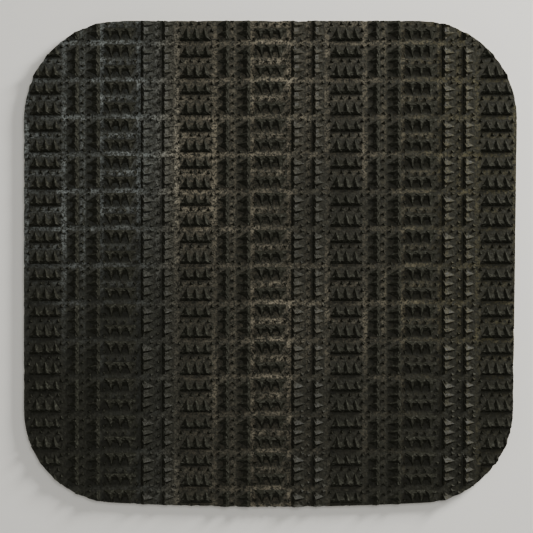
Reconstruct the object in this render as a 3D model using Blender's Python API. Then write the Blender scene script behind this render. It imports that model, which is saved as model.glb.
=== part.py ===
"""Stick-on traction pad for a snowboard deck, modelled as its separate layers.

Frame: metres, +Z up, origin at the centre of the underside of the release liner.
+X runs along the longer side of the pad and +Y away from the bowed front edge.
From the top down: a moulded rubber sheet with claws, a double-coated tape of
adhesive, film and adhesive, and a release liner that is split in two.
"""
import math

import bmesh
import bpy
from mathutils import Matrix, Vector

# Outline of the die-cut pad
PAD_WIDTH = 0.1400
PAD_DEPTH = 0.1380
BACK_CORNER_RADIUS = 0.0277
FRONT_CORNER_RADIUS = 0.0264
FRONT_BOW = 0.0011
RIGHT_TAPER = 0.0011
CORNER_STEPS = 12
FRONT_EDGE_STEPS = 8

# Thicknesses of the layers, from the bottom up
LINER_THICKNESS = 0.00012
ADHESIVE_THICKNESS = 0.00008
FILM_THICKNESS = 0.00005
BASE_THICKNESS = 0.00130
LAYER_CLEARANCE = 0.00003

# Split of the release liner
LINER_SPLIT_X = 0.0060
LINER_SPLIT_GAP = 0.00040
TAPE_INSET = 0.00030

# Claw pattern: tiles with two rows of claws, turned a quarter from one column to the next
TILE_WIDTH = 0.01068
TILE_DEPTH = 0.01054
PATTERN_START_X = -0.00523
PATTERN_START_Y = -0.00050
CLAW_HEIGHT = 0.00150
CLAW_ROOT_SINK = 0.00030

# Places in a tile with its walls at the front, as shares of its side from the left front corner
CLAW_CORNERS = (0.070, 0.382, 0.655, 0.945)
CLAW_CORNER_GAP = 0.008
CLAW_PEAK_SET_BACK = 0.092
LONG_ROW = {
    "wall": 0.042,
    "tip_line": 0.412,
    "tips": (0.262, 0.492, 0.722),
    "peaks": (0.300, 0.538, 0.785),
}
SHORT_ROW = {
    "wall": 0.606,
    "tip_line": 0.918,
    "tips": (0.228, 0.498, 0.770),
    "peaks": (0.285, 0.548, 0.815),
}
ROWS_OF_A_TILE = (LONG_ROW, SHORT_ROW)

# Quarter turns of the tiles along +X: walls at the back, left, front and right
TILE_TURNS = (2, 3, 0, 1)

# Spare tiles past the outline, plain border of the blank, and reach of the die above and below
SPARE_TILES = 1
BLANK_MARGIN = 0.0030
DIE_REACH = 0.0030

# Points of a filled outline that are closer than this are one point
MERGE_DISTANCE = 0.000001

LINER_BOTTOM = 0.0
LOWER_ADHESIVE_BOTTOM = LINER_BOTTOM + LINER_THICKNESS + LAYER_CLEARANCE
FILM_BOTTOM = LOWER_ADHESIVE_BOTTOM + ADHESIVE_THICKNESS + LAYER_CLEARANCE
UPPER_ADHESIVE_BOTTOM = FILM_BOTTOM + FILM_THICKNESS + LAYER_CLEARANCE
SHEET_BOTTOM = UPPER_ADHESIVE_BOTTOM + ADHESIVE_THICKNESS + LAYER_CLEARANCE
SHEET_TOP = SHEET_BOTTOM + BASE_THICKNESS

TILE_COLUMNS_EACH_SIDE = math.ceil(0.5 * PAD_WIDTH / TILE_WIDTH) + SPARE_TILES
TILE_ROWS_EACH_SIDE = math.ceil(0.5 * PAD_DEPTH / TILE_DEPTH) + SPARE_TILES


def clear_scene():
    """Remove every object that the start-up file holds."""
    for existing in list(bpy.data.objects):
        bpy.data.objects.remove(existing, do_unlink=True)


def make_collection(name):
    """Return a new collection linked to the scene."""
    collection = bpy.data.collections.new(name)
    bpy.context.scene.collection.children.link(collection)
    return collection


def make_material(name, colour, roughness, metallic=0.0):
    """Return a Principled material with one colour and roughness."""
    material = bpy.data.materials.new(name)
    material.use_nodes = True
    shader = material.node_tree.nodes["Principled BSDF"]
    shader.inputs["Base Color"].default_value = (*colour, 1.0)
    shader.inputs["Roughness"].default_value = roughness
    shader.inputs["Metallic"].default_value = metallic
    return material


def corner_arc(centre_x, centre_y, radius, start_angle):
    """Return the points of a quarter circle that runs counter-clockwise."""
    points = []
    for step in range(CORNER_STEPS + 1):
        angle = start_angle + 0.5 * math.pi * step / CORNER_STEPS
        x = centre_x + radius * math.cos(angle)
        y = centre_y + radius * math.sin(angle)
        points.append(Vector((x, y)))
    return points


def front_edge(half_width, front_y, radius):
    """Return the points between the two front corners, bowed towards the front."""
    reach = half_width - radius
    points = []
    for step in range(1, FRONT_EDGE_STEPS):
        share = 2.0 * step / FRONT_EDGE_STEPS - 1.0
        points.append(Vector((share * reach, front_y - FRONT_BOW * (1.0 - share * share))))
    return points


def taper_right_side(point, half_width, straight_back, straight_front):
    """Draw a point on the right side in towards the front, where the cut is out of square."""
    towards_front = max((straight_back - point.y) / (straight_back - straight_front), 0.0)
    towards_right = max(point.x, 0.0) / half_width
    return Vector((point.x - RIGHT_TAPER * towards_front * towards_right, point.y))


def pad_outline(inset=0.0):
    """Return the outline of the pad, drawn in by inset all round."""
    half_width = 0.5 * PAD_WIDTH - inset
    half_depth = 0.5 * PAD_DEPTH - inset
    front_y = FRONT_BOW - half_depth
    back_radius = BACK_CORNER_RADIUS - inset
    front_radius = FRONT_CORNER_RADIUS - inset
    back_x = half_width - back_radius
    front_x = half_width - front_radius
    back_centre_y = half_depth - back_radius
    front_centre_y = front_y + front_radius
    points = corner_arc(back_x, back_centre_y, back_radius, 0.0)
    points += corner_arc(-back_x, back_centre_y, back_radius, 0.5 * math.pi)
    points += corner_arc(-front_x, front_centre_y, front_radius, math.pi)
    points += front_edge(half_width, front_y, front_radius)
    points += corner_arc(front_x, front_centre_y, front_radius, 1.5 * math.pi)
    return [taper_right_side(point, half_width, back_centre_y, front_centre_y) for point in points]


def plate(name, outline, bottom, thickness, collection):
    """Return a mesh plate of the given outline, made from a filled flat curve."""
    curve = bpy.data.curves.new(name + "_outline", "CURVE")
    curve.dimensions = "2D"
    curve.fill_mode = "BOTH"
    curve.extrude = 0.5 * thickness
    spline = curve.splines.new("POLY")
    spline.points.add(len(outline) - 1)
    for spline_point, point in zip(spline.points, outline):
        spline_point.co = (point.x, point.y, 0.0, 1.0)
    spline.use_cyclic_u = True
    guide = bpy.data.objects.new(name + "_outline", curve)
    collection.objects.link(guide)
    bpy.context.view_layer.update()
    depsgraph = bpy.context.evaluated_depsgraph_get()
    mesh = bpy.data.meshes.new_from_object(guide.evaluated_get(depsgraph))
    bpy.data.objects.remove(guide, do_unlink=True)
    shape = bmesh.new()
    shape.from_mesh(mesh)
    bmesh.ops.remove_doubles(shape, verts=shape.verts, dist=MERGE_DISTANCE)
    bmesh.ops.recalc_face_normals(shape, faces=shape.faces)
    shape.to_mesh(mesh)
    shape.free()
    mesh.name = name
    piece = bpy.data.objects.new(name, mesh)
    piece.location.z = bottom + 0.5 * thickness
    collection.objects.link(piece)
    return piece


def hide_cutter(cutter):
    """Show a cutter as a wire only and keep it out of the finished object."""
    cutter.display_type = "WIRE"
    cutter.hide_render = True


def add_boolean(piece, cutter, operation):
    """Add a live Boolean with the exact solver."""
    modifier = piece.modifiers.new(operation.title() + "_" + cutter.name, "BOOLEAN")
    modifier.operation = operation
    modifier.solver = "EXACT"
    modifier.object = cutter


def add_claw(shape, placement, row, number):
    """Add one claw: a three-sided thorn with two corners on the wall, a tip and a peak."""
    made = bmesh.ops.create_cone(
        shape, cap_ends=True, segments=3, radius1=1.0, radius2=0.0, depth=1.0
    )
    peak = max(made["verts"], key=lambda vert: vert.co.z)
    feet = [vert for vert in made["verts"] if vert is not peak]
    feet.sort(key=lambda vert: math.atan2(vert.co.y, vert.co.x))
    left = (CLAW_CORNERS[number] + CLAW_CORNER_GAP, row["wall"])
    right = (CLAW_CORNERS[number + 1] - CLAW_CORNER_GAP, row["wall"])
    tip = (row["tips"][number], row["tip_line"])
    for vert, (x, y) in zip(feet, (left, right, tip)):
        vert.co = Vector((x, y, 0.0))
    peak.co = Vector((row["peaks"][number], row["wall"] + CLAW_PEAK_SET_BACK, CLAW_HEIGHT))
    for vert in feet:
        vert.co += (vert.co - peak.co) * (CLAW_ROOT_SINK / CLAW_HEIGHT)
    bmesh.ops.transform(shape, matrix=placement, verts=made["verts"])


def tile_placement(column, row):
    """Return the transform from a unit tile to its place, turned about its centre."""
    centre_x = PATTERN_START_X + (column + 0.5) * TILE_WIDTH
    centre_y = PATTERN_START_Y - (row + 0.5) * TILE_DEPTH
    quarter = TILE_TURNS[column % len(TILE_TURNS)]
    turn = Matrix.Rotation(0.5 * math.pi * quarter, 4, "Z")
    stretch = Matrix.Diagonal((TILE_WIDTH, TILE_DEPTH, 1.0, 1.0))
    centred = Matrix.Translation((-0.5, -0.5, 0.0))
    return Matrix.Translation((centre_x, centre_y, SHEET_TOP)) @ stretch @ turn @ centred


def add_tile(shape, column, row):
    """Add the claws of one tile."""
    placement = tile_placement(column, row)
    for claw_row in ROWS_OF_A_TILE:
        for number in range(len(claw_row["tips"])):
            add_claw(shape, placement, claw_row, number)


def make_claw_bank(collection):
    """Return the whole field of claws as one cutter, inside the border of the blank."""
    shape = bmesh.new()
    for column in range(-TILE_COLUMNS_EACH_SIDE, TILE_COLUMNS_EACH_SIDE):
        for row in range(-TILE_ROWS_EACH_SIDE, TILE_ROWS_EACH_SIDE):
            add_tile(shape, column, row)
    bmesh.ops.recalc_face_normals(shape, faces=shape.faces)
    mesh = bpy.data.meshes.new("claw_bank")
    shape.to_mesh(mesh)
    shape.free()
    bank = bpy.data.objects.new("claw_bank", mesh)
    collection.objects.link(bank)
    hide_cutter(bank)
    return bank


def make_blank():
    """Return the mesh of the flat base before the die cut, wider than the field of claws."""
    blank = bmesh.new()
    bmesh.ops.create_cube(blank, size=1.0)
    width = 2.0 * (TILE_COLUMNS_EACH_SIDE * TILE_WIDTH + BLANK_MARGIN)
    depth = 2.0 * (TILE_ROWS_EACH_SIDE * TILE_DEPTH + BLANK_MARGIN)
    middle = (PATTERN_START_X, PATTERN_START_Y, SHEET_BOTTOM + 0.5 * BASE_THICKNESS)
    bmesh.ops.scale(blank, vec=(width, depth, BASE_THICKNESS), verts=blank.verts)
    bmesh.ops.translate(blank, vec=middle, verts=blank.verts)
    mesh = bpy.data.meshes.new("traction_sheet")
    blank.to_mesh(mesh)
    blank.free()
    return mesh


def make_traction_sheet(parts, cutters):
    """Make the moulded rubber sheet: a flat base, joined to the claws, then die-cut."""
    sheet = bpy.data.objects.new("traction_sheet", make_blank())
    parts.objects.link(sheet)
    add_boolean(sheet, make_claw_bank(cutters), "UNION")
    die_height = BASE_THICKNESS + CLAW_HEIGHT + 2.0 * DIE_REACH
    die = plate("die", pad_outline(), SHEET_BOTTOM - DIE_REACH, die_height, cutters)
    hide_cutter(die)
    add_boolean(sheet, die, "INTERSECT")
    sheet.data.materials.append(make_material("moulded_rubber", (0.028, 0.029, 0.030), 0.62))


def make_tape(parts):
    """Make the three layers of the double-coated tape under the sheet."""
    outline = pad_outline(TAPE_INSET)
    adhesive = make_material("acrylic_adhesive", (0.62, 0.60, 0.52), 0.25)
    film = make_material("carrier_film", (0.70, 0.72, 0.73), 0.35)
    layers = (
        ("adhesive_coat_lower", LOWER_ADHESIVE_BOTTOM, ADHESIVE_THICKNESS, adhesive),
        ("carrier_film", FILM_BOTTOM, FILM_THICKNESS, film),
        ("adhesive_coat_upper", UPPER_ADHESIVE_BOTTOM, ADHESIVE_THICKNESS, adhesive),
    )
    for name, bottom, thickness, material in layers:
        layer = plate(name, outline, bottom, thickness, parts)
        layer.data.materials.append(material)


def clip_at(outline, split_x, keep_left):
    """Return the part of a convex outline on one side of a line along Y."""
    sign = -1.0 if keep_left else 1.0
    kept = []
    for index, point in enumerate(outline):
        following = outline[(index + 1) % len(outline)]
        here = sign * (point.x - split_x)
        there = sign * (following.x - split_x)
        if here >= 0.0:
            kept.append(point)
        if here * there < 0.0:
            kept.append(point.lerp(following, here / (here - there)))
    return kept


def make_liner(parts):
    """Make the two halves of the release liner, parted by the slit that starts the peel."""
    paper = make_material("silicone_paper", (0.80, 0.76, 0.66), 0.50)
    outline = pad_outline()
    half_gap = 0.5 * LINER_SPLIT_GAP
    halves = (
        ("release_liner_left", LINER_SPLIT_X - half_gap, True),
        ("release_liner_right", LINER_SPLIT_X + half_gap, False),
    )
    for name, edge_x, keep_left in halves:
        half_outline = clip_at(outline, edge_x, keep_left)
        half = plate(name, half_outline, LINER_BOTTOM, LINER_THICKNESS, parts)
        half.data.materials.append(paper)


def main():
    """Build every layer of the pad."""
    clear_scene()
    parts = make_collection("snowboard_stomp_pad")
    cutters = make_collection("cutters")
    make_traction_sheet(parts, cutters)
    make_tape(parts)
    make_liner(parts)


main()
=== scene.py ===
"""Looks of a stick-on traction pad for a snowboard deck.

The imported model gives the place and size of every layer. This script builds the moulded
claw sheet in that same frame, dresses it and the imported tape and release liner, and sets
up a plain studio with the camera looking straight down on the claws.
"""
import logging
import math
from dataclasses import dataclass
from enum import Enum

import bmesh
import bpy
from mathutils import Matrix, Vector, noise


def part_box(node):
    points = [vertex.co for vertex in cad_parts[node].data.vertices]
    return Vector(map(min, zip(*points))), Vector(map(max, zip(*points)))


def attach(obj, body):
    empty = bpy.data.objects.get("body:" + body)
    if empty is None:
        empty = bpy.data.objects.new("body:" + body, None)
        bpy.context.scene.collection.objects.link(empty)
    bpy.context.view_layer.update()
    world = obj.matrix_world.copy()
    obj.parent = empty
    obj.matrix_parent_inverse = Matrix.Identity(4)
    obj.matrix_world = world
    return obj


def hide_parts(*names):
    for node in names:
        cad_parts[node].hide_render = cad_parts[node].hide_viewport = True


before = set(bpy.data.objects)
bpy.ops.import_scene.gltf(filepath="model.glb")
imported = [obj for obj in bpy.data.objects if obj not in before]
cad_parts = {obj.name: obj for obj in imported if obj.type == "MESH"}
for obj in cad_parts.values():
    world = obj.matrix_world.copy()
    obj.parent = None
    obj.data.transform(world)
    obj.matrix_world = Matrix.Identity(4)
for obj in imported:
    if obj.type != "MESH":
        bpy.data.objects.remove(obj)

log = logging.getLogger("traction_pad")

MM = 0.001
WELD = 0.002 * MM
BASE_THICKNESS = 1.30 * MM
WANDER_SEED = 1
VIEW_X = -1.13 * MM
VIEW_Y = -0.78 * MM
SHELTERED = 1
Colour = tuple[float, float, float]
Place = tuple[float, float, float]


# ---------------------------------------------------------------- shader maths


class Channel:
    """A value, vector or colour output that can be used in Python expressions."""

    def __init__(self, graph: "ShaderGraph", socket: bpy.types.NodeSocket) -> None:
        """Wrap one output socket of a graph."""
        self.graph = graph
        self.socket = socket

    def _math(self, operation: str, *values: "Channel | float") -> "Channel":
        """Add a Math node."""
        return self.graph.node("ShaderNodeMath", {"operation": operation}, dict(enumerate(values)))

    def __add__(self, other: "Channel | float") -> "Channel":
        """Return self + other."""
        return self._math("ADD", self, other)

    __radd__ = __add__

    def __sub__(self, other: "Channel | float") -> "Channel":
        """Return self - other."""
        return self._math("SUBTRACT", self, other)

    def __rsub__(self, other: float) -> "Channel":
        """Return other - self."""
        return self._math("SUBTRACT", other, self)

    def __mul__(self, other: "Channel | float") -> "Channel":
        """Return self * other."""
        return self._math("MULTIPLY", self, other)

    __rmul__ = __mul__

    def __truediv__(self, other: "Channel | float") -> "Channel":
        """Return self / other."""
        return self._math("DIVIDE", self, other)

    def __pow__(self, power: float) -> "Channel":
        """Return self raised to a power."""
        return self._math("POWER", self, power)

    def __abs__(self) -> "Channel":
        """Return the size of self without its sign."""
        return self._math("ABSOLUTE", self)

    def step(self, low: float, high: float) -> "Channel":
        """Return a smooth 0 to 1 as self goes from low to high, which may run downwards.

        Args:
            low: Value at which the result is 0.
            high: Value at which the result is 1.

        Returns:
            The stepped value.
        """
        settings = {"interpolation_type": "SMOOTHSTEP"}
        if low < high:
            values = {"Value": self, "From Min": low, "From Max": high}
            return self.graph.node("ShaderNodeMapRange", settings, values)
        values = {"Value": self, "From Min": high, "From Max": low}
        return 1.0 - self.graph.node("ShaderNodeMapRange", settings, values)


class ShaderGraph:
    """A material whose nodes are added by Python expressions."""

    def __init__(self, name: str) -> None:
        """Start a material with a lone Principled shader.

        Args:
            name: Name of the material.
        """
        self.material = bpy.data.materials.new(name)
        self.material.use_nodes = True
        self.tree = self.material.node_tree
        self.shader = self.tree.nodes["Principled BSDF"]
        self.coords = self.node("ShaderNodeTexCoord", {}, {}, "Object")

    def node(self, kind: str, settings: dict, values: dict, output: int | str = 0) -> Channel:
        """Add a node, set it up and connect it.

        Args:
            kind: Node type.
            settings: Node properties, set before any socket.
            values: Socket index or name, to a number, vector, colour or Channel.
            output: Which output to return.

        Returns:
            The chosen output.
        """
        made = self.tree.nodes.new(kind)
        for name, setting in settings.items():
            setattr(made, name, setting)
        for key, value in values.items():
            if isinstance(value, Channel):
                self.tree.links.new(value.socket, made.inputs[key])
            else:
                made.inputs[key].default_value = value
        return Channel(self, made.outputs[output])

    def noise(self, per_metre: float, detail: float, stretch: Place = (1.0, 1.0, 1.0)) -> Channel:
        """Return a cloudy 0 to 1 pattern, fixed in the object's own space.

        Args:
            per_metre: Number of blotches in a metre.
            detail: Octaves of finer pattern.
            stretch: Scale of the pattern along X, Y and Z.

        Returns:
            The pattern's value.
        """
        place = self.node("ShaderNodeMapping", {}, {"Vector": self.coords, "Scale": stretch})
        values = {"Vector": place, "Scale": per_metre, "Detail": detail}
        return self.node("ShaderNodeTexNoise", {}, values, "Fac")

    def axis(self, name: str) -> Channel:
        """Return one coordinate, X, Y or Z, in metres."""
        return self.node("ShaderNodeSeparateXYZ", {}, {"Vector": self.coords}, name)

    def mix(
        self, factor: "Channel | float", low: "Channel | Colour", high: "Channel | Colour"
    ) -> Channel:
        """Blend two colours.

        Args:
            factor: Share of the second colour.
            low: Colour at factor 0.
            high: Colour at factor 1.

        Returns:
            The blended colour.
        """
        ends = [c if isinstance(c, Channel) else (*c, 1.0) for c in (low, high)]
        settings = {"data_type": "RGBA"}
        return self.node("ShaderNodeMix", settings, {"Factor": factor, 6: ends[0], 7: ends[1]}, 2)

    def bump(self, height: Channel, strength: float, distance: float) -> Channel:
        """Return a normal that is bent by a height pattern.

        Args:
            height: Pattern from 0 to 1.
            strength: Share of the effect.
            distance: Height in metres of a value of 1.

        Returns:
            The bent normal.
        """
        values = {"Height": height, "Strength": strength, "Distance": distance}
        return self.node("ShaderNodeBump", {}, values)

    def finish(self, **sockets: "Channel | float | Colour") -> bpy.types.Material:
        """Set or link sockets of the shader, named with _ for a space.

        Args:
            sockets: Socket name to its value or pattern.

        Returns:
            The finished material.
        """
        for name, value in sockets.items():
            target = self.shader.inputs[name.replace("_", " ")]
            if isinstance(value, Channel):
                self.tree.links.new(value.socket, target)
            elif isinstance(value, tuple):
                target.default_value = (*value, 1.0)
            else:
                target.default_value = value
        return self.material


# ---------------------------------------------------------------- finishes


@dataclass(frozen=True)
class WornRubberWithPaintedLight:
    """Near-black moulded rubber that has been walked on, with grains of dirt in its flats.

    The dirt is tan along the middle and olive to the right, and lies thickest along the seams
    between the tiles of the pattern. To the left its tint turns cool and pale, which is a painted
    sheen of the light's glare. Each entry of dirt_sheen_and_shade_places has its middle, its
    reach and its share: real patches of dirt, a painted sheen at the upper left, and painted
    shade with shares below 0 at the lower corners, where the light falls off.
    """

    flat_level: float
    claw_height: float
    start: tuple[float, float]
    tile: tuple[float, float]
    deep: Colour = (0.0074, 0.0074, 0.0045)
    worn: Colour = (0.0238, 0.0245, 0.0172)
    # pale: the cool tint of a painted sheen, laid over the dirt at the left.
    pale: Colour = (0.1240, 0.1430, 0.1480)
    tan: Colour = (0.1700, 0.1500, 0.1100)
    olive: Colour = (0.1040, 0.0920, 0.0480)
    ladder_reach: float = 6.5 * MM
    band_middle: float = -14.0 * MM
    band_reach: float = 36.0 * MM
    # Real dirt patches, a painted sheen at the upper left (share 0.72), and painted shade at the
    # two lower corners (shares below 0).
    dirt_sheen_and_shade_places: tuple[tuple[float, float, float, float], ...] = (
        (-58.0 * MM, 38.0 * MM, 56.0 * MM, 0.72),
        (54.0 * MM, 30.0 * MM, 36.0 * MM, 0.38),
        (22.0 * MM, 62.0 * MM, 42.0 * MM, 0.34),
        (31.0 * MM, -12.0 * MM, 34.0 * MM, 0.20),
        (54.0 * MM, -14.0 * MM, 26.0 * MM, 0.28),
        (-58.0 * MM, -42.0 * MM, 50.0 * MM, -0.22),
        (44.0 * MM, -46.0 * MM, 52.0 * MM, -0.18),
    )
    # Claws right of this get a tan painted highlight, standing in for light glinting off their
    # facets.
    painted_highlight_from: float = 48.0 * MM
    tan_until: float = 21.0 * MM
    olive_from: float = 57.0 * MM
    # Left of tan_from the dirt's tint fades into the painted sheen colour, fully reached at
    # painted_sheen_until.
    tan_from: float = -23.0 * MM
    painted_sheen_until: float = -37.0 * MM
    painted_sheen_share: float = 0.85
    seam_width: float = 1.00 * MM
    rail_share: float = 0.9
    rung_share: float = 0.8
    row_share: float = 0.6
    flat_lifts: tuple[float, float] = (0.14, 0.02)
    crest_lifts: tuple[float, float] = (0.50, 0.95)
    grain_scales: tuple[float, float] = (2300.0, 1050.0)
    streak_scales: tuple[float, float] = (2300.0, 1400.0)
    patch_scale: float = 42.0
    break_scale: float = 210.0
    pit_scales: tuple[float, float] = (1500.0, 800.0)
    pit_depth: float = 0.40 * MM
    body_wear: float = 0.24
    flat_wear: float = 0.18
    crest_wear: float = 0.66
    skin_roughness: float = 0.52
    even_share: float = 0.20
    ladder_share: float = 0.26
    band_share: float = 0.14
    patchy_band_share: float = 0.20
    patch_share: float = 0.24
    flat_cover: float = 0.15
    band_cover: float = 0.24
    seam_cover: float = 0.90
    claw_share: float = 0.03
    claw_patch_share: float = 0.08
    # Claws in the listed places take dirt, painted sheen at the upper left and painted shade at the
    # lower corners.
    claw_dirt_sheen_and_shade_share: float = 0.28
    # Share of the tan painted highlight on the claws at the right edge.
    claw_painted_highlight_share: float = 0.13

    def seam(self, along: Channel, start: float, length: float) -> Channel:
        """Return a mask that is 1 on evenly spaced lines across one axis.

        Args:
            along: The coordinate.
            start: Where one of the lines is.
            length: Distance from line to line.

        Returns:
            The mask.
        """
        values = {0: along - start, 1: 0.5 * length}
        distance = along.graph.node("ShaderNodeMath", {"operation": "PINGPONG"}, values)
        return distance.step(self.seam_width, 0.45 * self.seam_width)

    def seams(self, x: Channel, y: Channel) -> Channel:
        """Return a mask of the grooves where dirt settles: tile borders and between claw rows.

        Args:
            x: Coordinate across the columns.
            y: Coordinate along the columns.

        Returns:
            The mask.
        """
        start_x, start_y = self.start
        width, depth = self.tile
        rails = self.seam(x, start_x, width)
        rungs = self.seam(y, start_y, depth)
        values = {0: x - start_x, 1: 2.0 * width, 2: 0.0}
        column = x.graph.node("ShaderNodeMath", {"operation": "WRAP"}, values)
        sideways = column.step(0.99 * width, 1.01 * width)
        across = self.seam(y, start_y + 0.5 * depth, depth) * (1.0 - sideways)
        along = self.seam(x, start_x + 0.5 * width, width) * sideways
        bare = (1.0 - rails * self.rail_share) * (1.0 - rungs * self.rung_share)
        return 1.0 - bare * (1.0 - (across + along) * self.row_share)

    def dirt_sheen_and_shade(self, x: Channel, y: Channel) -> Channel:
        """Return the share of dirt at the listed places, with a painted sheen at the upper left and
        painted shade at the lower corners.

        Args:
            x: Coordinate across the columns.
            y: Coordinate along the columns.

        Returns:
            The share of dirt and painted sheen, below 0 for the painted shade.
        """
        shares = []
        for middle_x, middle_y, reach, share in self.dirt_sheen_and_shade_places:
            away = ((x - middle_x) ** 2.0 + (y - middle_y) ** 2.0) ** 0.5
            shares.append((away / reach).step(1.0, 0.15) * share)
        return sum(shares)

    def tint(self, x: Channel) -> Channel:
        """Return the colour of the dirt: tan in the middle to olive at the right, and at the left
        the cool pale colour of a painted sheen.

        Args:
            x: Coordinate across the columns.

        Returns:
            The colour.
        """
        mix = x.graph.mix
        warm = mix(x.step(self.tan_until, self.olive_from), self.tan, self.olive)
        # The pale end of this blend is painted sheen, not dirt colour.
        return mix(x.step(self.tan_from, self.painted_sheen_until) * self.painted_sheen_share, warm, self.pale)

    def dirt(self, g: ShaderGraph, flats: Channel) -> Channel:
        """Return how much dirt lies on the flats and the claws, with painted sheen, painted shade
        and a painted highlight mixed in.

        Args:
            g: The material's graph.
            flats: Mask of the flats.

        Returns:
            The cover, before it is broken up into grains.
        """
        x, y = g.axis("X"), g.axis("Y")
        ladder_middle = self.start[0] + 0.5 * self.tile[0]
        ladder = (abs(x - ladder_middle) / self.ladder_reach).step(1.0, 0.80)
        band = (abs(x - self.band_middle) / self.band_reach).step(1.0, 0.20)
        # Dirt patches, plus painted sheen at the upper left and painted shade at the lower corners.
        dirt_sheen_and_shade = self.dirt_sheen_and_shade(x, y)
        # Painted highlight: tan on the claws at the right edge.
        painted_highlight = (x / self.painted_highlight_from).step(0.92, 1.0)
        patches = g.noise(self.patch_scale, 4.0, (1.0, 0.60, 1.0)).step(0.48, 0.64)
        breaks = g.noise(self.break_scale, 3.0).step(0.36, 0.60) * 0.75 + 0.25
        # The flats' cover: dirt, plus painted sheen and painted shade.
        flat_dirt_sheen_and_shade = self.even_share + ladder * self.ladder_share + patches * self.patch_share + dirt_sheen_and_shade
        flat_dirt_sheen_and_shade = flat_dirt_sheen_and_shade + band * (self.band_share + patches * self.patchy_band_share)
        cover = self.flat_cover + band * self.band_cover
        cover = cover + self.seams(x, y) * breaks * self.seam_cover
        # The claws' cover: dirt, plus painted sheen, painted shade and painted highlight.
        claw_dirt_and_painted_light = self.claw_share + patches * self.claw_patch_share
        claw_dirt_and_painted_light = claw_dirt_and_painted_light + dirt_sheen_and_shade * self.claw_dirt_sheen_and_shade_share + painted_highlight * self.claw_painted_highlight_share
        return flats * flat_dirt_sheen_and_shade * cover + (1.0 - flats) * claw_dirt_and_painted_light

    def build(self) -> bpy.types.Material:
        """Make the material.

        Returns:
            The material, ready to be put on a piece.
        """
        g = ShaderGraph("worn_rubber_painted_light")
        lift = (g.axis("Z") - self.flat_level) / self.claw_height
        flats = lift.step(*self.flat_lifts)
        crests = lift.step(*self.crest_lifts)
        fine, coarse = self.grain_scales
        grains = (g.noise(fine, 1.0) * 0.5 + g.noise(coarse, 2.0) * 0.5).step(0.40, 0.61)
        fine, coarse = self.streak_scales
        streaks = g.noise(fine, 2.0, (1.0, 0.28, 1.0)) * 0.7 + g.noise(coarse, 2.0) * 0.3
        streaks = streaks.step(0.42, 0.62)
        wear = self.body_wear + flats * self.flat_wear + crests * self.crest_wear
        colour = g.mix(streaks * wear, self.deep, self.worn)
        # Lays the dirt over the rubber, together with the painted sheen, shade and highlight it
        # carries.
        colour = g.mix(self.dirt(g, flats) * grains, colour, self.tint(g.axis("X")))
        fine, coarse = self.pit_scales
        pits = g.noise(fine, 3.0) * 0.5 + g.noise(coarse, 2.0) * 0.5
        rough = self.skin_roughness + flats * 0.12 + grains * 0.14
        normal = g.bump(pits, 1.0, self.pit_depth)
        return g.finish(Base_Color=colour, Roughness=rough, Normal=normal, Specular_IOR_Level=0.20)


@dataclass(frozen=True)
class ShelteredRubber:
    """Rubber that boots don't polish: steep walls, and claws that lie along the boot's slide."""

    deep: Colour = (0.0118, 0.0120, 0.0086)
    worn: Colour = (0.0370, 0.0380, 0.0300)
    mark_scale: float = 1700.0
    pit_scale: float = 1200.0
    pit_depth: float = 0.20 * MM

    def build(self) -> bpy.types.Material:
        """Make the material.

        Returns:
            The material, ready to be put on a piece.
        """
        g = ShaderGraph("sheltered_rubber")
        marks = g.noise(self.mark_scale, 3.0).step(0.50, 0.70)
        colour = g.mix(marks, self.deep, self.worn)
        rough = 0.70 + marks * 0.12
        normal = g.bump(g.noise(self.pit_scale, 3.0), 0.8, self.pit_depth)
        return g.finish(Base_Color=colour, Roughness=rough, Normal=normal, Specular_IOR_Level=0.08)


@dataclass(frozen=True)
class TackyAdhesive:
    """Clear acrylic adhesive with a yellow cast and trapped bubbles."""

    clear: Colour = (0.66, 0.62, 0.50)
    yellow: Colour = (0.50, 0.43, 0.27)
    cloud_scale: float = 90.0
    bubble_scale: float = 1400.0
    ripple_scale: float = 300.0
    ripple_depth: float = 0.03 * MM

    def build(self) -> bpy.types.Material:
        """Make the material.

        Returns:
            The material, ready to be put on a piece.
        """
        g = ShaderGraph("tacky_adhesive")
        clouds = g.noise(self.cloud_scale, 4.0).step(0.35, 0.70)
        bubbles = g.noise(self.bubble_scale, 2.0).step(0.58, 0.70)
        colour = g.mix(clouds, self.clear, self.yellow)
        rough = 0.16 + clouds * 0.12 + bubbles * 0.20
        normal = g.bump(bubbles + g.noise(self.ripple_scale, 3.0), 0.4, self.ripple_depth)
        return g.finish(Base_Color=colour, Roughness=rough, Normal=normal)


@dataclass(frozen=True)
class CarrierFilm:
    """Pale polyester film with faint draw lines from its making."""

    pale: Colour = (0.70, 0.73, 0.75)
    grey: Colour = (0.52, 0.56, 0.60)
    line_scale: float = 60.0
    line_depth: float = 0.02 * MM

    def build(self) -> bpy.types.Material:
        """Make the material.

        Returns:
            The material, ready to be put on a piece.
        """
        g = ShaderGraph("carrier_film")
        lines = g.noise(self.line_scale, 3.0, (1.0, 14.0, 1.0))
        colour = g.mix(lines.step(0.35, 0.70), self.pale, self.grey)
        rough = 0.20 + lines * 0.15
        normal = g.bump(lines, 0.25, self.line_depth)
        return g.finish(Base_Color=colour, Roughness=rough, Normal=normal)


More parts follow.
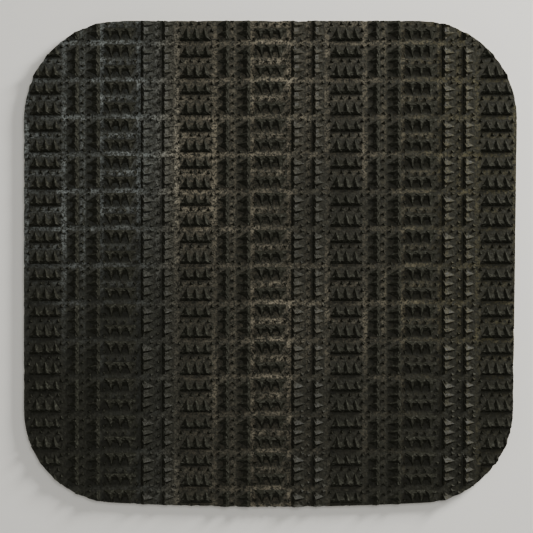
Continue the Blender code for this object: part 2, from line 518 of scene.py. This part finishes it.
@dataclass(frozen=True)
class SiliconePaper:
    """Kraft paper with a silicone coat: fibres under a satin skin."""

    light: Colour = (0.78, 0.70, 0.53)
    tan: Colour = (0.62, 0.51, 0.34)
    fleck: Colour = (0.42, 0.31, 0.18)
    pulp_scale: float = 160.0
    fibre_scale: float = 900.0
    fleck_scale: float = 1700.0
    fibre_depth: float = 0.03 * MM

    def build(self) -> bpy.types.Material:
        """Make the material.

        Returns:
            The material, ready to be put on a piece.
        """
        g = ShaderGraph("silicone_paper")
        pulp = g.noise(self.pulp_scale, 5.0).step(0.30, 0.72)
        fibres = g.noise(self.fibre_scale, 4.0, (0.22, 1.0, 1.0)).step(0.56, 0.74)
        flecks = g.noise(self.fleck_scale, 2.0, (0.5, 1.0, 1.0)).step(0.68, 0.78)
        colour = g.mix(pulp, self.light, self.tan)
        colour = g.mix(fibres * 0.35, colour, self.fleck)
        colour = g.mix(flecks * 0.60, colour, self.fleck)
        rough = 0.36 + pulp * 0.16
        normal = g.bump(fibres * 0.5 + pulp * 0.5, 0.35, self.fibre_depth)
        return g.finish(Base_Color=colour, Roughness=rough, Normal=normal, Coat_Weight=0.25)


@dataclass(frozen=True)
class StudioPaper:
    """Plain pale floor."""

    tone: Colour = (0.74, 0.73, 0.71)
    mottle_scale: float = 40.0

    def build(self) -> bpy.types.Material:
        """Make the material.

        Returns:
            The material, ready to be put on a piece.
        """
        g = ShaderGraph("studio_paper")
        rough = 0.80 + g.noise(self.mottle_scale, 2.0) * 0.10
        return g.finish(Base_Color=self.tone, Roughness=rough)


# ---------------------------------------------------------------- outline


@dataclass
class PadOutline:
    """The die-cut outline, with the same sizes as the layers of the model."""

    width: float
    depth: float
    back_radius: float = 27.7 * MM
    front_radius: float = 26.4 * MM
    front_bow: float = 1.1 * MM
    right_taper: float = 1.1 * MM
    corner_steps: int = 14
    front_steps: int = 12

    def arc(self, centre: Vector, radius: float, start: float) -> list[Vector]:
        """Return a quarter circle that runs counter-clockwise.

        Args:
            centre: Centre of the arc.
            radius: Radius of the arc.
            start: Angle of the first point.

        Returns:
            The points of the arc.
        """
        step = 0.5 * math.pi / self.corner_steps
        angles = [start + step * count for count in range(self.corner_steps + 1)]
        return [centre + radius * Vector((math.cos(a), math.sin(a))) for a in angles]

    def taper(self, point: Vector, half_width: float, back_y: float, front_y: float) -> Vector:
        """Return a point drawn in where the right side is cut out of square.

        Args:
            point: Point of the square outline.
            half_width: Half the outline's width.
            back_y: Where the right side leaves the back corner.
            front_y: Where it meets the front corner.

        Returns:
            The moved point.
        """
        towards_front = max((back_y - point.y) / (back_y - front_y), 0.0)
        towards_right = max(point.x, 0.0) / half_width
        return Vector((point.x - self.right_taper * towards_front * towards_right, point.y))

    def points(self) -> list[Vector]:
        """Return the outline, counter-clockwise from the right end of the back corner.

        Returns:
            The points of the outline.
        """
        half_width = 0.5 * self.width
        half_depth = 0.5 * self.depth
        front_y = self.front_bow - half_depth
        back_r = self.back_radius
        front_r = self.front_radius
        back_y = half_depth - back_r
        low_y = front_y + front_r
        back_x = half_width - back_r
        front_x = half_width - front_r
        points = self.arc(Vector((back_x, back_y)), back_r, 0.0)
        points += self.arc(Vector((-back_x, back_y)), back_r, 0.5 * math.pi)
        points += self.arc(Vector((-front_x, low_y)), front_r, math.pi)
        for step in range(1, self.front_steps):
            share = 2.0 * step / self.front_steps - 1.0
            bow = self.front_bow * (1.0 - share * share)
            points.append(Vector((share * front_x, front_y - bow)))
        points += self.arc(Vector((front_x, low_y)), front_r, 1.5 * math.pi)
        return [self.taper(point, half_width, back_y, low_y) for point in points]


def new_piece(
    name: str, shape: bmesh.types.BMesh, *finishes: bpy.types.Material
) -> bpy.types.Object:
    """Turn a finished bmesh into an object at the origin.

    Args:
        name: Name of the piece.
        shape: The bmesh, which is freed.
        finishes: Finishes of the piece, in the order of its faces' numbers.

    Returns:
        The object.
    """
    mesh = bpy.data.meshes.new(name)
    shape.to_mesh(mesh)
    shape.free()
    for finish in finishes:
        mesh.materials.append(finish)
    piece = bpy.data.objects.new(name, mesh)
    bpy.context.scene.collection.objects.link(piece)
    log.info("%s: %d faces", name, len(mesh.polygons))
    return piece


def clip_to(shape: bmesh.types.BMesh, outline: list[Vector]) -> None:
    """Cut away everything outside a convex outline.

    Args:
        shape: The bmesh to cut.
        outline: Points of the outline, counter-clockwise.
    """
    for index, point in enumerate(outline):
        following = outline[(index + 1) % len(outline)]
        along = following - point
        outward = Vector((along.y, -along.x, 0.0)).normalized()
        near = [f for f in shape.faces if reaches(f, point, outward)]
        parts = list({e for f in near for e in f.edges}) + list({v for f in near for v in f.verts})
        bmesh.ops.bisect_plane(
            shape,
            geom=near + parts,
            dist=0.5 * WELD,
            plane_co=point.to_3d(),
            plane_no=outward,
            clear_outer=True,
        )


def reaches(face: bmesh.types.BMFace, point: Vector, outward: Vector) -> bool:
    """Return whether a face has a corner on the outer side of a line."""
    limit = outward.xy.dot(point) - WELD
    return any(outward.dot(v.co) > limit for v in face.verts)


# ---------------------------------------------------------------- claw pattern


class Facing(Enum):
    """Which side of a tile its steep walls face, as quarter turns of the front-facing tile."""

    BACK = 2
    LEFT = 3
    FRONT = 0
    RIGHT = 1


@dataclass(frozen=True)
class Claw:
    """A three-sided thorn with two corners on its steep wall, a tip and a peak near the wall.

    All places are shares of the tile's side, from the tile's left front corner.
    """

    left: float
    right: float
    wall: float
    tip: tuple[float, float]
    peak: tuple[float, float]
    height: float
    ridge_width: float

    def add_to(self, shape: bmesh.types.BMesh, side: float, floor: float, root: float) -> None:
        """Add the claw as a closed solid that reaches below the floor.

        Args:
            shape: The bmesh to add to.
            side: Side of the tile.
            floor: Level that the claw stands on.
            root: Depth of the claw's root below the floor.
        """
        made = bmesh.ops.create_cone(
            shape, cap_ends=True, cap_tris=False, segments=3, radius1=1.0, radius2=0.0, depth=1.0
        )
        verts = made["verts"]
        peak = max(verts, key=lambda v: v.co.z)
        feet = sorted((v for v in verts if v is not peak), key=lambda v: math.atan2(v.co.y, v.co.x))
        places = ((self.left, self.wall), (self.right, self.wall), self.tip)
        for vert, (x, y) in zip(feet, places):
            vert.co = Vector((x * side, y * side, floor))
        peak.co = Vector((self.peak[0] * side, self.peak[1] * side, floor + self.height))
        for vert in feet:
            slope = (vert.co - peak.co) / self.height
            vert.co += slope * root
        ridges = list(peak.link_edges)
        bmesh.ops.bevel(
            shape,
            geom=ridges,
            offset=self.ridge_width,
            offset_type="OFFSET",
            affect="EDGES",
            segments=1,
            profile=0.5,
            material=-1,
        )


@dataclass(frozen=True)
class ClawRow:
    """Three claws side by side on a common steep wall, and the low bank that they grow out of.

    Places are shares of the tile's side, and heights are shares of the claws' height.
    """

    wall: float
    tip_line: float
    tips: tuple[float, ...]
    peaks: tuple[float, ...]
    height: float
    corners: tuple[float, ...] = (0.070, 0.382, 0.655, 0.945)
    overlap: float = 0.035
    set_back: float = 0.092
    bank_height: float = 0.50
    bank_tip_height: float = 0.05
    bank_lean: float = 0.030
    bank_set_back: float = 0.080
    bank_reach: float = 0.54
    bank_tip_span: tuple[float, float] = (0.235, 0.765)


@dataclass
class ClawTile:
    """One square of the moulded pattern: two rows of claws and small spikes between them.

    A raised face is sheltered where its normal's Y is under sheltered_turn. That is the walls,
    or every raised face where the value is over 1.
    """

    side: float
    floor: float
    claw_height: float
    root: float = 0.25 * MM
    block_depth: float = 0.8 * MM
    ridge_width: float = 0.06 * MM
    spike_height: float = 0.75 * MM
    spike_half: float = 0.056
    spike_ridge_width: float = 0.02 * MM
    spike_tip: tuple[float, float] = (-0.1, 2.0)
    spike_peak: tuple[float, float] = (0.2, 0.5)
    sheltered_turn: float = -0.55
    rows: tuple["ClawRow", ...] = (
        ClawRow(0.042, 0.412, (0.262, 0.492, 0.722), (0.300, 0.538, 0.785), 1.0),
        ClawRow(0.606, 0.918, (0.228, 0.498, 0.770), (0.285, 0.548, 0.815), 0.93),
    )
    spikes: tuple[tuple[float, float], ...] = (
        (0.115, 0.460), (0.385, 0.480), (0.600, 0.480), (0.845, 0.460),
        (0.068, 0.290), (0.932, 0.290), (0.068, 0.860), (0.932, 0.860),
    )

    def claws(self) -> list[Claw]:
        """List the claws and spikes of the tile.

        Returns:
            The claws, row by row, and then the spikes.
        """
        made = []
        for row in self.rows:
            for n, (tip, peak) in enumerate(zip(row.tips, row.peaks)):
                left = max(row.corners[n] - row.overlap, row.corners[0])
                right = min(row.corners[n + 1] + row.overlap, row.corners[-1])
                height = self.claw_height * row.height
                feet = (left, right, row.wall)
                ends = ((tip, row.tip_line), (peak, row.wall + row.set_back))
                made.append(Claw(*feet, *ends, height, self.ridge_width))
        half = self.spike_half
        for x, y in self.spikes:
            feet = (x - half, x + half, y)
            ends = [(x + a * half, y + b * half) for a, b in (self.spike_tip, self.spike_peak)]
            made.append(Claw(*feet, *ends, self.spike_height, self.spike_ridge_width))
        return made

    def add_bank(self, shape: bmesh.types.BMesh, row: "ClawRow") -> None:
        """Add the low wedge that the claws of a row grow out of.

        Args:
            shape: The bmesh to add to.
            row: The row that the wedge carries.
        """
        made = bmesh.ops.create_cube(shape, size=1.0)
        for vert in made["verts"]:
            is_top = vert.co.z > 0.0
            is_tip = vert.co.y > 0.0
            low, high = row.bank_tip_span if is_tip else (row.corners[0], row.corners[-1])
            narrow = row.bank_lean if is_top else 0.0
            x = high - narrow if vert.co.x > 0.0 else low + narrow
            y = row.wall + (row.bank_set_back if is_top else 0.0)
            if is_tip:
                y = row.wall + row.bank_reach * (row.tip_line - row.wall)
            lift = (row.bank_tip_height if is_tip else row.bank_height) * self.claw_height
            z = self.floor + lift if is_top else self.floor - self.root
            vert.co = Vector((x * self.side, y * self.side, z))

    def mesh(self) -> bpy.types.Mesh:
        """Join the claws to the tile's floor and return the upper surface, open at its edges.

        Returns:
            The surface, with its corner at the origin.
        """
        block = bmesh.new()
        bmesh.ops.create_cube(block, size=1.0)
        bmesh.ops.scale(block, vec=(self.side, self.side, self.block_depth), verts=block.verts)
        middle = (0.5 * self.side, 0.5 * self.side, self.floor - 0.5 * self.block_depth)
        bmesh.ops.translate(block, vec=middle, verts=block.verts)
        thorns = bmesh.new()
        for claw in self.claws():
            claw.add_to(thorns, self.side, self.floor, self.root)
        for row in self.rows:
            self.add_bank(thorns, row)
        bmesh.ops.recalc_face_normals(thorns, faces=thorns.faces)
        joined = self.union(block, thorns)
        below = [f for f in joined.faces if f.calc_center_median().z < self.floor - WELD]
        bmesh.ops.delete(joined, geom=below, context="FACES")
        bmesh.ops.triangulate(joined, faces=joined.faces)
        for face in joined.faces:
            is_raised = face.calc_center_median().z > self.floor + WELD
            if is_raised and face.normal.y < self.sheltered_turn:
                face.material_index = SHELTERED
        mesh = bpy.data.meshes.new("claw_tile")
        joined.to_mesh(mesh)
        joined.free()
        return mesh

    def union(self, block: bmesh.types.BMesh, thorns: bmesh.types.BMesh) -> bmesh.types.BMesh:
        """Return the Boolean union of the block and the thorns.

        Args:
            block: The tile's block, which is freed.
            thorns: Claws and spikes, which are freed.

        Returns:
            A new bmesh.
        """
        objects = []
        for name, shape in (("tile_block", block), ("tile_thorns", thorns)):
            mesh = bpy.data.meshes.new(name)
            shape.to_mesh(mesh)
            shape.free()
            made = bpy.data.objects.new(name, mesh)
            bpy.context.scene.collection.objects.link(made)
            objects.append(made)
        modifier = objects[0].modifiers.new("join", "BOOLEAN")
        modifier.operation = "UNION"
        modifier.solver = "EXACT"
        modifier.use_self = True
        modifier.object = objects[1]
        bpy.context.view_layer.update()
        depsgraph = bpy.context.evaluated_depsgraph_get()
        result = bmesh.new()
        result.from_object(objects[0], depsgraph)
        for made in objects:
            bpy.data.objects.remove(made, do_unlink=True)
        return result


@dataclass
class TractionSheet:
    """The moulded rubber sheet: tiles of claws turned a quarter from column to column.

    Only the tiles that face left are polished by boots. The others keep a dull skin on
    everything raised.
    """

    outline: PadOutline
    bottom: float
    floor: float
    top: float
    tile_width: float = 10.68 * MM
    tile_depth: float = 10.54 * MM
    start_x: float = -5.23 * MM
    start_y: float = -0.50 * MM
    wander: float = 0.18 * MM
    wander_per_metre: float = 260.0
    fine_wander: float = 0.9
    fine_wander_per_metre: float = 962.0
    wander_rise: float = 4.0
    wear_down: float = 1.5
    nick_depth: float = 0.40 * MM
    nick_threshold: float = 0.05
    nicks_per_metre: float = 700.0
    sharp_angle: float = math.radians(24.0)
    order: tuple[Facing, ...] = (Facing.BACK, Facing.LEFT, Facing.FRONT, Facing.RIGHT)
    dull_tiles: tuple[Facing, ...] = (Facing.BACK, Facing.FRONT, Facing.RIGHT)

    def placement(self, column: int, row: int, side: float) -> Matrix:
        """Return the transform of the tile in a column and row.

        Args:
            column: Column, counted along +X from the pattern's start.
            row: Row, counted towards the front.
            side: Side of the square tile.

        Returns:
            The tile's transform.
        """
        turn = self.order[column % len(self.order)].value
        centre_x = self.start_x + (column + 0.5) * self.tile_width
        centre_y = self.start_y - (row + 0.5) * self.tile_depth
        place = Matrix.Translation((centre_x, centre_y, 0.0))
        stretch = Matrix.Diagonal((self.tile_width / side, self.tile_depth / side, 1.0, 1.0))
        rotate = Matrix.Rotation(0.5 * math.pi * turn, 4, "Z")
        return place @ stretch @ rotate @ Matrix.Translation((-0.5 * side, -0.5 * side, 0.0))

    def covers(self, column: int, row: int) -> bool:
        """Tell whether a tile comes inside the rounded outline.

        Args:
            column: Column of the tile.
            row: Row of the tile.

        Returns:
            True if some of the tile may be left after the cut.
        """
        x = abs(self.start_x + (column + 0.5) * self.tile_width)
        y = abs(self.start_y - (row + 0.5) * self.tile_depth)
        half = 0.5 * max(self.tile_width, self.tile_depth)
        gap_x = max(x - half - (0.5 * self.outline.width - self.outline.front_radius), 0.0)
        gap_y = max(y - half - (0.5 * self.outline.depth - self.outline.front_radius), 0.0)
        return math.hypot(gap_x, gap_y) < self.outline.front_radius

    def roughen(self, shape: bmesh.types.BMesh) -> None:
        """Move every raised point a little, as on a moulding that has been used and bent.

        Args:
            shape: The upper surface, before it is cut to the outline.
        """
        noise.seed_set(WANDER_SEED)
        for vert in shape.verts:
            drift = noise.noise_vector(vert.co * self.wander_per_metre)
            fine = noise.noise_vector(vert.co * self.fine_wander_per_metre)
            drift += self.fine_wander * fine
            lift = max((vert.co.z - self.floor) / (self.top - self.floor), 0.0)
            vert.co.xy += drift.xy * self.wander * min(self.wander_rise * lift, 1.0)
            vert.co.z += min(drift.z, 0.0) * self.wander * self.wear_down * lift

    def lay_tiles(self) -> bmesh.types.BMesh:
        """Lay tiles over the whole outline and weld them.

        Returns:
            The upper surface, with whole tiles past the outline.
        """
        side = 0.5 * (self.tile_width + self.tile_depth)
        height = self.top - self.floor
        polished = ClawTile(side, self.floor, height).mesh()
        dull = ClawTile(side, self.floor, height, sheltered_turn=2.0).mesh()
        shape = bmesh.new()
        columns = math.ceil(0.5 * self.outline.width / self.tile_width) + 1
        rows = math.ceil(0.5 * self.outline.depth / self.tile_depth) + 1
        for column in range(-columns, columns):
            for row in range(-rows, rows):
                if self.covers(column, row):
                    facing = self.order[column % len(self.order)]
                    placed = (dull if facing in self.dull_tiles else polished).copy()
                    placed.transform(self.placement(column, row, side))
                    shape.from_mesh(placed)
                    bpy.data.meshes.remove(placed)
        bpy.data.meshes.remove(polished)
        bpy.data.meshes.remove(dull)
        bmesh.ops.remove_doubles(shape, verts=shape.verts, dist=WELD)
        return shape

    def build(self) -> bpy.types.Object:
        """Lay the tiles, cut them to the outline and close the sheet below.

        Returns:
            The finished sheet, which rides on the pad.
        """
        shape = self.lay_tiles()
        self.roughen(shape)
        clip_to(shape, self.outline.points())
        self.nick(shape)
        self.close_below(shape)
        start = (self.start_x, self.start_y)
        tile_size = (self.tile_width, self.tile_depth)
        worn = WornRubberWithPaintedLight(self.floor, self.top - self.floor, start, tile_size).build()
        piece = new_piece("claw_sheet", shape, worn, ShelteredRubber().build())
        piece.data.shade_smooth()
        piece.data.set_sharp_from_angle(angle=self.sharp_angle)
        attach(piece, "pad")
        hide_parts("traction_sheet")
        return piece

    def nick(self, shape: bmesh.types.BMesh) -> None:
        """Wear small nicks into the cut edge.

        Args:
            shape: The clipped upper surface.
        """
        rim = {vert for edge in shape.edges if edge.is_boundary for vert in edge.verts}
        for vert in rim:
            depth = max(noise.noise(vert.co * self.nicks_per_metre) - self.nick_threshold, 0.0)
            vert.co.xy -= vert.co.xy.normalized() * depth * self.nick_depth

    def close_below(self, shape: bmesh.types.BMesh) -> None:
        """Draw the cut edge straight down to the sheet's flat underside and close it.

        Args:
            shape: The clipped upper surface.
        """
        rim = [e for e in shape.edges if e.is_boundary]
        made = bmesh.ops.extrude_edge_only(shape, edges=rim)["geom"]
        for part in made:
            if isinstance(part, bmesh.types.BMVert):
                part.co.z = self.bottom
        lower = [e for e in shape.edges if e.is_boundary]
        bmesh.ops.contextual_create(shape, geom=lower)
        bmesh.ops.recalc_face_normals(shape, faces=shape.faces)


# ---------------------------------------------------------------- studio


@dataclass(frozen=True)
class Lamp:
    """A soft square light: its name, where it hangs, its side and its power in watts."""

    name: str
    place: Place
    side: float
    watts: float


@dataclass
class Studio:
    """Floor, soft lights and the camera that looks straight down on the pad."""

    target: Vector
    frame_width: float = 150.8 * MM
    lens: float = 100.0
    sensor: float = 36.0
    tint: Colour = (1.0, 0.985, 0.93)
    air: Colour = (0.96, 0.96, 0.92)
    air_strength: float = 0.18
    floor_reach: float = 1.5
    floor_level: float = -0.2 * MM
    lamps: tuple[Lamp, ...] = (
        Lamp("key", (0.42, 0.32, 0.18), 0.16, 6.8),
        Lamp("fill", (-0.40, -0.34, 0.20), 0.40, 0.6),
        Lamp("sky", (0.16, 0.20, 0.90), 0.50, 4.3),
    )

    def build(self) -> None:
        """Make the camera, the floor and the lights."""
        self.camera()
        self.floor()
        for lamp in self.lamps:
            self.light(lamp)
        world = bpy.data.worlds.new("studio")
        world.use_nodes = True
        background = world.node_tree.nodes["Background"]
        background.inputs["Color"].default_value = (*self.air, 1.0)
        background.inputs["Strength"].default_value = self.air_strength
        bpy.context.scene.world = world

    def camera(self) -> None:
        """Make the camera, far enough away for its lens to take in the frame."""
        data = bpy.data.cameras.new("camera")
        data.lens = self.lens
        data.sensor_width = self.sensor
        camera = bpy.data.objects.new("camera", data)
        distance = self.frame_width * self.lens / self.sensor
        camera.location = self.target + Vector((0.0, 0.0, distance))
        bpy.context.scene.collection.objects.link(camera)
        bpy.context.scene.camera = camera

    def floor(self) -> None:
        """Make the plain pale floor."""
        shape = bmesh.new()
        bmesh.ops.create_grid(shape, x_segments=2, y_segments=2, size=self.floor_reach)
        bmesh.ops.translate(shape, vec=(0.0, 0.0, self.floor_level), verts=shape.verts)
        new_piece("studio_floor", shape, StudioPaper().build())

    def light(self, lamp: Lamp) -> None:
        """Make a light that is aimed at the pad.

        Args:
            lamp: The light to make.
        """
        data = bpy.data.lights.new(lamp.name, "AREA")
        data.size = lamp.side
        data.energy = lamp.watts
        data.color = self.tint
        made = bpy.data.objects.new(lamp.name, data)
        made.location = lamp.place
        aim = self.target - Vector(lamp.place)
        made.rotation_euler = aim.to_track_quat("-Z", "Y").to_euler()
        bpy.context.scene.collection.objects.link(made)


def dress(node: str, material: bpy.types.Material) -> None:
    """Give a CAD node its finish.

    Args:
        node: Name of the node.
        material: Its finish.
    """
    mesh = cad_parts[node].data
    mesh.materials.clear()
    mesh.materials.append(material)
    log.info("%s: finish %s", node, material.name)


def main() -> None:
    """Build every piece of the pad and the studio around it."""
    logging.basicConfig(level=logging.INFO, format="%(message)s")
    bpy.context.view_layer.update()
    low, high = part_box("traction_sheet")
    outline = PadOutline(high.x - low.x, high.y - low.y)
    Studio(Vector((VIEW_X, VIEW_Y, high.z))).build()
    TractionSheet(outline, low.z, low.z + BASE_THICKNESS, high.z).build()
    adhesive = TackyAdhesive().build()
    dress("adhesive_coat_upper", adhesive)
    dress("adhesive_coat_lower", adhesive)
    dress("carrier_film", CarrierFilm().build())
    paper = SiliconePaper().build()
    dress("release_liner_left", paper)
    dress("release_liner_right", paper)


if __name__ == "__main__":
    main()
